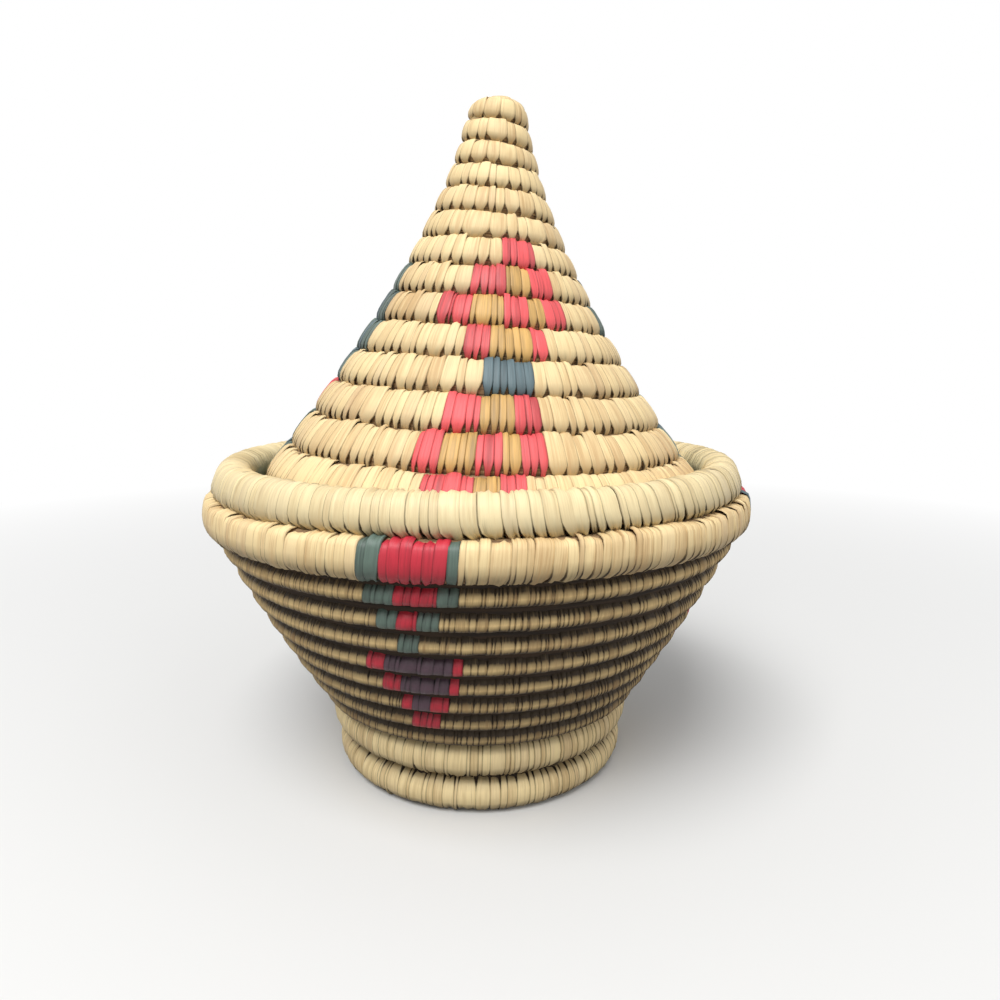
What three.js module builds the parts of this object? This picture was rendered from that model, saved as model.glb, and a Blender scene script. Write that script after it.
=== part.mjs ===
// A lidded basket sewn from coiled grass: a flared bowl on a foot ring, and a
// pointed lid that drops inside the bowl's rim.
//
// Every wall is a bundle of grass that winds round and round, each round sewn
// to the one before it, so a coil here is one unbroken tube. Its rounds keep a
// small gap, where the sewing pulls two bundles together. Millimetres, +Z up,
// and the origin is the middle of the foot's underside.
import * as THREE from 'three';

// Fits
const SEWN_GAP = 0.65; // between two rounds of one coil
const END_GAP = 1.0; // between a coil's sewn-off end and the round beside it
const PIECE_GAP = 0.3; // between one coil and the next piece
const LID_CLEARANCE = 0.6; // between the lid's edge and the rim, all round
const LEAST_END = 1.4; // half the height of a coil where it is sewn off
const END_THICKNESS = 0.7; // share of its thickness that a coil would keep at no height

// Foot ring: two thick rounds
const FOOT_RADIUS = 51.7; // middle of the lower round
const FOOT_FLARE = 1.6; // how much further out the upper round lies
const FOOT_LOWER_COIL = 6.9; // half the height of a round, here and below
const FOOT_UPPER_COIL = 7.6;

// Base and wall of the bowl
const WALL_SET_OUT = 7.1; // how much further out the wall starts than the foot's upper round
const WALL_ROUNDS = 8;
const WALL_COIL = 4.65;
const WALL_LEAN_LOW = 33; // degrees from upright, at the lowest round
const WALL_LEAN_HIGH = 26; // degrees from upright, at the highest round
const BASE_KNOT_RADIUS = 5.5;

// Mouth of the bowl
const SHOULDER_COIL = 5.8;
const SHOULDER_LEAN = 24; // degrees outwards from the wall's last round
const RIM_COIL = 6.35;
const RIM_LEAN = -23.5; // degrees, so the rim turns in over the shoulder
const LEDGE_COIL = 5.0; // the coil inside the mouth that carries the lid

// Lid
const LID_HEIGHT = 147; // from its lower edge to the top of its peak
const LID_ROUNDS = 14; // down to where its edge reaches the rim
const LID_PEAK_RADIUS = 6.6; // middle of the coil where it starts
const LID_PEAK_COIL = 3.6; // half the lid's thickness at its peak
const LID_EDGE_COIL = 4.7; // half its thickness at its edge
const LID_EDGE_HEIGHT = 7.1; // from its lower edge to the middle of that round
const LID_SPREAD = 0.17; // 1 is a straight cone, and less is hollow-sided
const LID_DROP = 0.73; // 1 is rounds of one height, and less is taller low ones
const LID_START = 0.4; // rounds already spent in the knot
const LID_START_TAPER = 0.3; // rounds over which the coil thickens out of it
const LID_LEAN = 9.5; // how far its peak has gone over to one side
const LID_LEAN_TOWARDS = -36; // degrees anticlockwise from +X
const LID_DIP = 0.04; // slope of the rounds down to that side, at the peak

// Fineness
const SIX = 6; // sides of a thin coil
const EIGHT = 8; // sides of a thick coil
const TWELVE = 12; // sides of the coils at the mouth
const STEPS_BASE = 24; // steps in a round
const STEPS_LID = 28;
const STEPS_WALL = 32;
const STEPS_MOUTH = 36;
const KNOT_SIDES = 14;
const KNOT_ARC = 3;
const LID_SETTLING = 4; // passes that fit the lid's last round into its place

const rad = THREE.MathUtils.degToRad;
const { lerp } = THREE.MathUtils;
// How far the corners of a round coil's section reach beyond its flat sides.
const corners = (sides, coil) => coil * (1 / Math.cos(Math.PI / sides) - 1);

// A place in a coil: how far from the axis and how high its middle runs, the
// lean of the pile there, half the height along the pile and half the
// thickness across it.
const place = (radius, height, lean, tall, thick) => ({ radius, height, lean, tall, thick });

function between(a, b, share) {
  const mixed = {};
  Object.keys(a).forEach((key) => { mixed[key] = lerp(a[key], b[key], share); });
  return mixed;
}

// A place moved along its own lean, with another height. The lower a coil gets
// towards its end, the thinner it is too.
function shifted(spot, along, tall) {
  const radius = spot.radius + along * Math.sin(spot.lean);
  const height = spot.height + along * Math.cos(spot.lean);
  const thick = spot.thick * lerp(END_THICKNESS, 1, tall / spot.tall);
  return place(radius, height, spot.lean, tall, thick);
}

// The place of a round that is sewn on another.
function sewnOn(below, lean, coil, gap = SEWN_GAP) {
  const from = { ...below, lean, tall: coil, thick: coil };
  return shifted(from, below.tall + gap + coil, coil);
}

// Corners of a section, as shares of its half height and half thickness. Its
// flat sides face the rounds above and below.
function sectionShares(sides) {
  const half = Math.PI / sides;
  const turns = Array.from({ length: sides }, (_, k) => (2 * k - 1) * half);
  const widest = Math.max(...turns.map(Math.sin));
  return turns.map((turn) => [Math.cos(turn) / Math.cos(half), Math.sin(turn) / widest]);
}

const unchanged = (point) => point;

// The corners of a coil's section at one station, which is a place with the
// angle that it lies at. A shape function can move them afterwards.
function cornersAt(station, sides, shape) {
  const up = new THREE.Vector2(Math.sin(station.lean), Math.cos(station.lean));
  const out = new THREE.Vector2(up.y, -up.x);
  const axis = new THREE.Vector2(Math.cos(station.angle), Math.sin(station.angle));
  return sectionShares(sides).map(([along, across]) => {
    const spot = new THREE.Vector2(station.radius, station.height)
      .addScaledVector(up, along * station.tall)
      .addScaledVector(out, across * station.thick);
    return shape(new THREE.Vector3(spot.x * axis.x, spot.x * axis.y, spot.y));
  });
}

// The faces of a closed solid, turned round if they point in.
function facingOut(points, faces) {
  let volume = 0;
  for (let i = 0; i < faces.length; i += 3) {
    const [a, b, c] = faces.slice(i, i + 3).map((k) => points[k]);
    volume += a.dot(b.clone().cross(c));
  }
  return volume > 0 ? faces : faces.reverse();
}

// One unbroken tube through the sections of a coil's stations.
function tube(stations, sides, shape = unchanged) {
  const points = stations.flatMap((station) => cornersAt(station, sides, shape));
  const faces = [];
  const last = (stations.length - 1) * sides;
  for (let ring = 0; ring < last; ring += sides) {
    for (let k = 0; k < sides; k += 1) {
      const a = ring + k;
      const b = ring + ((k + 1) % sides);
      faces.push(a, b, b + sides, a, b + sides, a + sides);
    }
  }
  for (let k = 1; k < sides - 1; k += 1) {
    faces.push(0, k + 1, k, last, last + k, last + k + 1);
  }
  const geometry = new THREE.BufferGeometry().setFromPoints(points);
  geometry.setIndex(facingOut(points, faces));
  geometry.computeVertexNormals();
  return geometry;
}

// The least gap between a coil's neighbouring rounds, from the corners of each
// section to the sides of the section one whole round further on.
function leastGap(stations, stepsInRound, sides, shape = unchanged) {
  const near = new THREE.Vector3();
  let least = Infinity;
  for (let i = 0; i + stepsInRound < stations.length; i += 1) {
    const one = cornersAt(stations[i], sides, shape);
    const two = cornersAt(stations[i + stepsInRound], sides, shape);
    [[one, two], [two, one]].forEach(([points, ring]) => {
      ring.forEach((from, k) => {
        const side = new THREE.Line3(from, ring[(k + 1) % sides]);
        points.forEach((point) => {
          side.closestPointToPoint(point, true, near);
          least = Math.min(least, near.distanceTo(point));
        });
      });
    });
  }
  return least;
}

// Piled rounds, from the lowest up. The coil winds clockwise seen from above,
// from the +X side. Each round lies level over the front half turn and climbs
// to the next over the back half turn.
const clockwise = (turn) => -2 * Math.PI * turn;
const climb = (share) => share * share * (3 - 2 * share);
const apart = (a, b) => Math.hypot(a.radius - b.radius, a.height - b.height);

// The way from one row to the next follows a smooth curve through them all.
function climbed(rows, row, share) {
  if (share === 0) return rows[row];
  const path = new THREE.SplineCurve(rows.map((spot) => new THREE.Vector2(spot.radius, spot.height)));
  const middle = path.getPoint((row + share) / (rows.length - 1));
  return { ...between(rows[row], rows[row + 1], share), radius: middle.x, height: middle.y };
}

function onRound(rows, turn) {
  const row = Math.floor(turn);
  return climbed(rows, row, climb(Math.max(2 * (turn - row) - 1, 0)));
}

// The wedge that fills in under the first climb, so that the pile starts level.
function firstWedge(rows, turn) {
  const [first] = rows;
  const above = climbed(rows, 0, climb(2 * turn + 1));
  const tall = (apart(above, first) + first.tall - above.tall - END_GAP) / 2;
  return shifted(first, tall - first.tall, tall);
}

// The wedge that fills in over the last climb, so that the pile ends level.
function lastWedge(rows, turn) {
  const last = rows[rows.length - 1];
  const below = climbed(rows, rows.length - 2, climb(2 * (turn - rows.length) + 1));
  const tall = (apart(last, below) + last.tall - below.tall - END_GAP) / 2;
  return shifted(last, last.tall - tall, tall);
}

function piled(rows, from, to, steps) {
  const stations = [];
  for (let i = 0; i <= Math.round((to - from) * steps); i += 1) {
    const turn = from + i / steps;
    let spot = onRound;
    if (turn < 0) spot = firstWedge;
    if (turn > rows.length - 0.5) spot = lastWedge;
    const station = { ...spot(rows, turn), angle: clockwise(turn) };
    if (station.tall >= LEAST_END) stations.push(station);
  }
  return stations;
}

// Draws the end of a coil back along its own path, clear of the next piece.
function drawnBack(stations) {
  const [next, end] = stations.slice(-2);
  const share = PIECE_GAP / (Math.abs(next.angle - end.angle) * end.radius);
  return [...stations.slice(0, -1), between(end, next, share)];
}

// Foot: the lower round is flat underneath, where the basket stands.
const footLower = place(FOOT_RADIUS, FOOT_LOWER_COIL, 0, FOOT_LOWER_COIL, FOOT_LOWER_COIL);
const footUpper = {
  ...sewnOn(footLower, 0, FOOT_UPPER_COIL),
  radius: FOOT_RADIUS + FOOT_FLARE,
};
const footStations = piled([footLower, footUpper], -0.5, 2, STEPS_WALL);

// Wall, shoulder and rim, one row on another. The wall's lowest round rests on
// the flank of the foot's upper round.
const footReach = FOOT_UPPER_COIL + corners(EIGHT, FOOT_UPPER_COIL)
  + WALL_COIL + corners(SIX, WALL_COIL) + PIECE_GAP;
const wallLowest = place(
  footUpper.radius + WALL_SET_OUT,
  footUpper.height + Math.sqrt(footReach ** 2 - WALL_SET_OUT ** 2),
  rad(WALL_LEAN_LOW),
  WALL_COIL,
  WALL_COIL,
);
const bowlRows = [wallLowest];
for (let i = 1; i < WALL_ROUNDS; i += 1) {
  const lean = rad(lerp(WALL_LEAN_LOW, WALL_LEAN_HIGH, i / (WALL_ROUNDS - 1)));
  bowlRows.push(sewnOn(bowlRows[i - 1], lean, WALL_COIL));
}
const wallHighest = bowlRows[bowlRows.length - 1];
const mouthGap = SEWN_GAP + corners(TWELVE, SHOULDER_COIL);
const shoulder = sewnOn(wallHighest, rad(SHOULDER_LEAN), SHOULDER_COIL, mouthGap);
const rimGap = mouthGap + corners(TWELVE, RIM_COIL);
const rim = sewnOn(shoulder, rad(RIM_LEAN), RIM_COIL, rimGap);
shoulder.lean = rad((SHOULDER_LEAN + RIM_LEAN) / 2);
bowlRows.push(shoulder, rim);

// Each of the three gives way to the next half way up a climb, at the back.
const wallEnd = bowlRows.indexOf(shoulder) - 0.25;
const wallStations = drawnBack(piled(bowlRows, -0.5, wallEnd, STEPS_WALL));
const shoulderStations = drawnBack(piled(bowlRows, wallEnd, wallEnd + 1, STEPS_MOUTH));
const rimStations = piled(bowlRows, wallEnd + 1, bowlRows.length, STEPS_MOUTH);

// Base: a flat coil round a knot, sewn off to a round edge inside the wall. It
// starts as a wedge against the knot.
const baseHeight = footUpper.height + FOOT_UPPER_COIL + PIECE_GAP + WALL_COIL;
const basePitch = 2 * WALL_COIL + SEWN_GAP;
const baseInner = BASE_KNOT_RADIUS + PIECE_GAP;
const baseOuter = wallLowest.radius - WALL_COIL - PIECE_GAP;
const baseStations = [];
for (let i = -STEPS_BASE; baseInner + (basePitch * i) / STEPS_BASE < baseOuter; i += 1) {
  const turn = i / STEPS_BASE;
  const unwound = baseInner + basePitch * turn;
  const inner = Math.max(unwound, baseInner);
  const outer = Math.min(unwound + 2 * WALL_COIL, baseOuter);
  const wide = (outer - inner) / 2;
  const spot = place(inner + wide, baseHeight, Math.PI / 2, wide, WALL_COIL);
  if (wide >= LEAST_END) baseStations.push({ ...spot, angle: clockwise(turn) });
}

// Ledge: one round inside the mouth, against the climb from wall to shoulder,
// with its ends cut on a slant and lapped.
const climbing = between(wallHighest, shoulder, 0.5);
const ledge = place(
  climbing.radius - climbing.tall - corners(EIGHT, climbing.tall) - PIECE_GAP - LEDGE_COIL,
  climbing.height,
  0,
  LEDGE_COIL,
  LEDGE_COIL,
);
const ledgeStations = [];
for (let i = 0; i <= 1.5 * STEPS_WALL; i += 1) {
  const turn = i / STEPS_WALL - 0.5;
  const share = Math.min(2 * turn + 1, 2 - 2 * turn, 1);
  const tall = LEDGE_COIL * share - (share < 1 ? END_GAP / 2 : 0);
  const along = (turn < 0 ? -1 : 1) * (LEDGE_COIL - tall);
  const station = { ...shifted(ledge, along, tall), angle: clockwise(turn) };
  if (tall >= LEAST_END) ledgeStations.push(station);
}

// Lid: one coil from the peak down. Its rounds grow wider and taller downwards,
// and the last one is sewn off to an edge that stands on the ledge.
const lidSeat = ledge.height + LEDGE_COIL + PIECE_GAP;
const lidTop = lidSeat + LID_HEIGHT;
const lidEdge = rim.radius - RIM_COIL - LID_CLEARANCE;
const lidBaseRadius = lidEdge - 1.4 * LID_EDGE_COIL;
const lidDrop = LID_HEIGHT - LID_PEAK_COIL - LID_EDGE_HEIGHT;

const eased = (share, first) => first * share + (1 - first) * share * share;

// How far out and how high the middle of the coil runs.
function lidMiddle(turn) {
  const share = turn / LID_ROUNDS;
  const gone = eased(share, LID_DROP) - eased(LID_START / LID_ROUNDS, LID_DROP);
  const radius = lerp(LID_PEAK_RADIUS, lidBaseRadius, eased(share, LID_SPREAD));
  return new THREE.Vector2(radius, lidTop - LID_PEAK_COIL - lidDrop * gone);
}

// A round in the open part of the lid.
function lidFull(turn) {
  const middle = lidMiddle(turn);
  const pile = lidMiddle(turn - 0.5).sub(lidMiddle(turn + 0.5));
  const thick = lerp(LID_PEAK_COIL, LID_EDGE_COIL, Math.min(turn / LID_ROUNDS, 1));
  const lean = Math.atan2(pile.x, pile.y);
  return place(middle.x, middle.y, lean, (pile.length() - SEWN_GAP) / 2, thick);
}

// The coil thickens upwards out of the knot at the peak.
function lidFirst(turn) {
  const full = lidFull(turn);
  const tall = lerp(LEAST_END, full.tall, (turn - LID_START) / LID_START_TAPER);
  return shifted(full, tall - full.tall, tall);
}

// How far a six-sided section reaches along a line that leans otherwise.
function reach(spot, lean) {
  const up = Math.abs(Math.cos(spot.lean - lean));
  const across = Math.abs(Math.sin(spot.lean - lean));
  return Math.max(spot.tall * up + (spot.thick / 2) * across, spot.thick * across);
}

// The last round keeps inside the rim. Its height is what is left between the
// round before it and the seat, and settles together with how far out it fits.
function lidLast(turn) {
  const full = lidFull(turn);
  const before = lidPlace(turn - 1);
  let spot = full;
  for (let pass = 0; pass < LID_SETTLING; pass += 1) {
    const radius = Math.min(full.radius, lidEdge - reach(spot, Math.PI / 2));
    const lean = Math.atan2(before.radius - radius, before.height - full.height);
    const above = reach(before, lean) + SEWN_GAP;
    const room = (before.height - lidSeat) / Math.cos(lean) - above;
    const tall = Math.min(full.tall, (room - (full.thick / 2) * Math.abs(Math.tan(lean))) / 2);
    spot = shifted({ ...before, lean, tall: full.tall, thick: full.thick }, -above - tall, tall);
  }
  return spot;
}

function lidPlace(turn) {
  if (turn < LID_START + LID_START_TAPER) return lidFirst(turn);
  return turn < LID_ROUNDS - 1 ? lidFull(turn) : lidLast(turn);
}

const lidStations = [];
for (let i = 0; i <= (LID_ROUNDS + 2) * STEPS_LID; i += 1) {
  const turn = LID_START + i / STEPS_LID;
  const spot = lidPlace(turn);
  if (spot.tall < LEAST_END) break;
  lidStations.push({ ...spot, angle: 2 * Math.PI * turn });
}

// The peak has gone over to one side, and the rounds dip towards that side.
const lidSide = new THREE.Vector3(Math.cos(rad(LID_LEAN_TOWARDS)), Math.sin(rad(LID_LEAN_TOWARDS)), 0);
function leaning(point) {
  const share = Math.max(point.z - lidSeat, 0) / LID_HEIGHT;
  const dip = LID_DIP * share * (2 - share) * point.dot(lidSide);
  return point.clone().addScaledVector(lidSide, LID_LEAN * share).setZ(point.z - dip);
}

// A knot is a plug with rounded ends that fills the eye of a coil. It stands on
// the axis, and a shape function can move it afterwards.
function knot(radius, bottom, top, shape = unchanged) {
  const round = Math.min(radius, (top - bottom) / 2) * 0.6;
  const arc = (from, height) => Array.from({ length: KNOT_ARC + 1 }, (_, k) => {
    const turn = from + (k / KNOT_ARC) * (Math.PI / 2);
    const out = radius - round + round * Math.cos(turn);
    return new THREE.Vector2(out, height + round * Math.sin(turn));
  });
  const axis = (height) => new THREE.Vector2(0, height);
  const sides = [...arc(-Math.PI / 2, bottom + round), ...arc(0, top - round)];
  const geometry = new THREE.LatheGeometry([axis(bottom), ...sides, axis(top)], KNOT_SIDES);
  const at = geometry.attributes.position;
  for (let i = 0; i < at.count; i += 1) {
    const point = shape(new THREE.Vector3(at.getX(i), -at.getZ(i), at.getY(i)));
    at.setXYZ(i, point.x, point.y, point.z);
  }
  geometry.computeVertexNormals();
  return geometry;
}

const baseKnot = knot(BASE_KNOT_RADIUS, baseHeight - WALL_COIL, baseHeight + WALL_COIL);
const lidEye = lidMiddle(LID_START).x - LID_PEAK_COIL - PIECE_GAP;
const lidKnot = knot(lidEye, lidMiddle(LID_START + 1).y, lidTop, leaning);

const leaf = (color, roughness = 0.72) => (
  new THREE.MeshStandardMaterial({ color, roughness, metalness: 0 })
);
const paleLeaf = leaf('#ead0a0');
const rimLeaf = leaf('#e2d1a4', 0.66);
const footLeaf = leaf('#e0c38d');
const innerLeaf = leaf('#c9b083', 0.8);

const basket = new THREE.Group();
function piece(name, geometry, material) {
  const mesh = new THREE.Mesh(geometry, material);
  mesh.name = name;
  basket.add(mesh);
}

function coil(name, stations, stepsInRound, sides, material, shape = unchanged) {
  piece(name, tube(stations, sides, shape), material);
  const gap = leastGap(stations, stepsInRound, sides, shape);
  if (Number.isFinite(gap)) console.log(`${name}: least gap ${gap.toFixed(2)} mm`);
}

coil('foot_coil', footStations, STEPS_WALL, EIGHT, footLeaf);
piece('base_start_knot', baseKnot, innerLeaf);
coil('base_coil', baseStations, STEPS_BASE, SIX, innerLeaf);
coil('wall_coil', wallStations, STEPS_WALL, SIX, paleLeaf);
coil('shoulder_coil', shoulderStations, STEPS_MOUTH, TWELVE, paleLeaf);
coil('rim_coil', rimStations, STEPS_MOUTH, TWELVE, rimLeaf);
coil('lid_ledge_coil', ledgeStations, STEPS_WALL, EIGHT, innerLeaf);
piece('lid_peak_knot', lidKnot, paleLeaf);
coil('lid_coil', lidStations, STEPS_LID, SIX, paleLeaf, leaning);

export default basket;
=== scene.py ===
import math

import bpy
import numpy as np
from bpy.props import FloatProperty, FloatVectorProperty, PointerProperty
from bpy.types import Operator, Panel, PropertyGroup
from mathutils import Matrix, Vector


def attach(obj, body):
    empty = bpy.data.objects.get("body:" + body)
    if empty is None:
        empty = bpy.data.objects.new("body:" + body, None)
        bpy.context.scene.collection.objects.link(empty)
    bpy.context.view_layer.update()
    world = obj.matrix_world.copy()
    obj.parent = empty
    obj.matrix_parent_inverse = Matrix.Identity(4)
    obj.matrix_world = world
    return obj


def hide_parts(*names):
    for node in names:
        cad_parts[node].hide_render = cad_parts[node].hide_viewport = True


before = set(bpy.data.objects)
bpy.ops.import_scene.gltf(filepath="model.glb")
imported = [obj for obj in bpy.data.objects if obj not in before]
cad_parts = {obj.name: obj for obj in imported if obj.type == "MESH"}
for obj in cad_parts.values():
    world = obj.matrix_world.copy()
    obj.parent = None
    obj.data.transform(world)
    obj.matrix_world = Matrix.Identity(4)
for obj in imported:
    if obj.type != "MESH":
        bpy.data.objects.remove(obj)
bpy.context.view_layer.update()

bl_info = {
    "name": "Coiled grass basket",
    "version": (1, 0, 0),
    "blender": (4, 5, 0),
    "location": "3D View > Sidebar > Basket",
    "description": "Wraps a lidded basket's grass coils with split palm leaf, stitch by stitch",
    "category": "Add Mesh",
}

# Fits between the coils, in metres
SEWN_GAP = 0.00065
END_GAP = 0.001
PIECE_GAP = 0.0003
LID_CLEARANCE = 0.0006
LEAST_END = 0.0014
FINE_END = 0.0005  # half the height of a wrapped end, finer than the plain coil's
END_THICKNESS = 0.7

# Foot ring
FOOT_RADIUS = 0.0517
FOOT_FLARE = 0.0016
FOOT_LOWER_COIL = 0.0069
FOOT_UPPER_COIL = 0.0076
FLOOR_PRESS = 0.0006

# Base, wall and mouth of the bowl
WALL_SET_OUT = 0.0071
WALL_ROUNDS = 8
WALL_COIL = 0.00465
WALL_LEAN_LOW = math.radians(33)
WALL_LEAN_HIGH = math.radians(26)
BASE_KNOT_RADIUS = 0.0055
SHOULDER_COIL = 0.0058
SHOULDER_LEAN = math.radians(24)
RIM_COIL = 0.00635
RIM_LEAN = math.radians(-23.5)
LEDGE_COIL = 0.005

# Lid
LID_HEIGHT = 0.147
LID_ROUNDS = 14
LID_PEAK_RADIUS = 0.0066
LID_PEAK_COIL = 0.0036
LID_EDGE_COIL = 0.0047
LID_EDGE_HEIGHT = 0.0071
LID_SPREAD = 0.17
LID_DROP = 0.73
LID_START = 0.4
LID_START_TAPER = 0.3
LID_POINT = 0.1  # turns by which the wrapped coil starts before the plain one
LID_LEAN = 0.0095
LID_LEAN_TOWARDS = math.radians(-36)
LID_DIP = 0.04
LID_SETTLING = 4  # times that the place of the last round is worked out
LID_INSET = 1.4  # from the inside of the rim to the middle of the last round, in coils
LID_COUNTED = 0.375  # turns by which the lid's rounds are counted ahead of its coil

# Corners of the sections that the coils are built with, beyond their flat sides
SIX_SIDES = 1 / math.cos(math.pi / 6) - 1
EIGHT_SIDES = 1 / math.cos(math.pi / 8) - 1
TWELVE_SIDES = 1 / math.cos(math.pi / 12) - 1

TURN = 2 * math.pi
STEPS = 96  # places worked out in one round of a coil

# Floor, lights and view, in metres
FLOOR_FADE = (0.16, 0), (0.75, 1)  # shares of white at distances from the middle
FLOOR_REACH = 6.0
LIGHT_AIM = Vector((0, 0, 0.1))
KEY_PLACE = -0.32, -0.84, 1.42
KEY_SIZE = 0.9
FILL_PLACE = 1.1, -0.7, 0.6
FILL_SIZE = 1.2
CAMERA_PLACE = 0.0084, -0.2896, 0.1591
CAMERA_TILT = math.radians(79.17)  # from looking straight down

# The stitched figures, one letter for each stitch. A figure comes four times round,
# in turn in its own dyes and in the second ones. Each round of it has the angle
# where it begins, in degrees.
DYES = {"p": "pink", "o": "ochre", "b": "blue", "r": "red", "g": "green", "v": "violet"}
LID_STITCH = 0.0026
BOWL_STITCH = 0.003
WALL_DYED = 0.85  # width of a dyed strip on the wall against one on the shoulder
LID_FIGURE = {
    7: (-82, "pppp"),
    8: (-99, "ppppoooppp"),
    9: (-113, "ppppoooopppooppp"),
    10: (-98, "pppooooopp"),
    11: (-90, "bbbbbb"),
    12: (-100, "ppppooooppp"),
    13: (-105.6, "pppoooopppooppp"),
    14: (-102, "ppppppoooppp"),
}
BOWL_FIGURE = {
    8: (-107, "ggrrrrrrg"),
    7: (-108, "gggrrrrgg"),
    6: (-107, "ggrrgg"),
    5: (-104, "gg"),
    4: (-113, "rrvvvvvvvr"),
    3: (-111, "rrvvvvvr"),
    2: (-108, "rvvrr"),
    1: (-107, "rrr"),
}
SECOND_DYES = {"p": "g", "o": "b", "b": "p", "g": "b", "r": "r", "v": "g"}


def blend(a, b, share):
    return a + (b - a) * share


def eased(share):
    return share * share * (3 - 2 * share)


def between(value, first, last):
    """How far a value has gone from the first to the last, as a share."""
    return np.clip((value - first) / (last - first), 0, 1)


def swell(around, middle, spread):
    """1 at an angle round the section, and less on both sides of it."""
    return np.exp(-(((around - middle) / spread) ** 2))


class Spot:
    """A place in a coil: how far out and how high its middle runs, the lean of the
    pile there, half the height along the pile and half the thickness across it."""

    def __init__(self, radius, height, lean, tall, thick):
        self.radius = radius
        self.height = height
        self.lean = lean
        self.tall = tall
        self.thick = thick

    def values(self):
        return np.array([self.radius, self.height, self.lean, self.tall, self.thick])

    def towards(self, other, share):
        return Spot(*blend(self.values(), other.values(), share))

    def shifted(self, along, tall):
        """Moved along its own lean, with another height, and thinner if it is lower."""
        radius = self.radius + along * math.sin(self.lean)
        height = self.height + along * math.cos(self.lean)
        thick = self.thick * blend(END_THICKNESS, 1, tall / self.tall)
        return Spot(radius, height, self.lean, tall, thick)

    def carrying(self, lean, coil, gap=SEWN_GAP):
        """The place of a round that is sewn on this one."""
        here = Spot(self.radius, self.height, lean, coil, coil)
        return here.shifted(self.tall + gap + coil, coil)

    def reach(self, lean):
        """How far a six-sided section reaches along a line that leans otherwise."""
        up = abs(math.cos(self.lean - lean))
        across = abs(math.sin(self.lean - lean))
        return max(self.tall * up + self.thick / 2 * across, self.thick * across)


def pressed(share, full):
    """A sine or cosine for a section that is fuller at its corners than a round one."""
    return np.sign(share) * np.abs(share) ** full


def apart(a, b):
    return math.hypot(a.radius - b.radius, a.height - b.height)


def climbed(rows, row, share):
    """The way from one row to the next, on a smooth curve through them all."""
    spot = rows[row]
    if share == 0:
        return spot
    last = len(rows) - 1
    p0, p1, p2, p3 = (rows[min(max(row + k, 0), last)].values()[:2] for k in (-1, 0, 1, 2))
    a = (p2 - p0) / 2
    b = (p3 - p1) / 2
    bent = (2 * (p1 - p2) + a + b) * share + 3 * (p2 - p1) - 2 * a - b
    curve = bent * share * share + a * share + p1
    spot = spot.towards(rows[row + 1], share)
    spot.radius, spot.height = curve
    return spot


def on_round(rows, turn):
    row = math.floor(turn)
    return climbed(rows, row, eased(max(2 * (turn - row) - 1, 0)))


def first_wedge(rows, turn):
    """The wedge that fills in under the first climb."""
    first = rows[0]
    above = climbed(rows, 0, eased(2 * turn + 1))
    tall = (apart(above, first) + first.tall - above.tall - END_GAP) / 2
    return first.shifted(tall - first.tall, tall)


def last_wedge(rows, turn):
    """The wedge that fills in over the last climb."""
    last = rows[-1]
    below = climbed(rows, len(rows) - 2, eased(2 * (turn - len(rows)) + 1))
    tall = (apart(last, below) + last.tall - below.tall - END_GAP) / 2
    return last.shifted(last.tall - tall, tall)


def piled(rows, start, end):
    """The turns and spots of piled rounds, level over the front half turn."""
    run = []
    for turn in np.arange(start, end + 0.5 / STEPS, 1 / STEPS):
        spot = on_round
        if turn < 0:
            spot = first_wedge
        if turn > len(rows) - 0.5:
            spot = last_wedge
        placed = spot(rows, turn)
        if placed.tall >= FINE_END:
            run.append((turn, placed))
    return run


class Coil:
    """One coil's run. way is 1 if it winds anticlockwise seen from above. full is 1
    for a round section, and less for one that is pressed fuller at its corners."""

    def __init__(self, run, way=-1, full=1.0, shape=None):
        self.turns = np.array([turn for turn, _ in run])
        self.table = np.array([spot.values() for _, spot in run])
        self.way = way
        self.full = full
        self.shape = shape
        self.usual = np.median(self.table[:, 3])  # half of its usual height
        radius = self.table[:, 0] + self.table[:, 4] * 0.5 * np.cos(self.table[:, 2])
        step = np.diff(self.turns) * TURN * (radius[1:] + radius[:-1]) / 2
        self.length = np.concatenate([[0], np.cumsum(step)])

    def value(self, turn, column):
        return np.interp(turn, self.turns, self.table[:, column])

    def share(self, turn):
        """How full the coil is, which is less than 1 towards its ends."""
        return np.minimum(self.value(turn, 3) / self.usual, 1)

    def surface(self, turn, around, lift, squeeze=0):
        """Points at a turn and an angle round the section, 0 at its top and a
        quarter turn at its outer side. They are lifted off the coil's own surface,
        and squeezed towards its middle from above and below."""
        radius, height, lean, tall, thick = (self.value(turn, k) for k in range(5))
        along = (tall - squeeze * self.share(turn) + lift) * pressed(np.cos(around), self.full)
        across = (thick + lift) * pressed(np.sin(around), self.full)
        out = radius + along * np.sin(lean) + across * np.cos(lean)
        high = height + along * np.cos(lean) - across * np.sin(lean)
        angle = self.way * TURN * turn
        points = np.stack([out * np.cos(angle), out * np.sin(angle), high], -1)
        return self.shape(points) if self.shape else points

    def turn_at(self, length):
        return np.interp(length, self.length, self.turns)


def foot_rows():
    lower = Spot(FOOT_RADIUS, FOOT_LOWER_COIL, 0, FOOT_LOWER_COIL, FOOT_LOWER_COIL)
    upper = lower.carrying(0, FOOT_UPPER_COIL)
    upper.radius += FOOT_FLARE
    return [lower, upper]


def standing(points):
    """Pressed flat where it would reach the floor."""
    high = points[..., 2]
    least = FLOOR_PRESS * np.exp(np.minimum(high, FLOOR_PRESS) / FLOOR_PRESS - 1)
    points[..., 2] = np.maximum(high, least)
    return points


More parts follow.
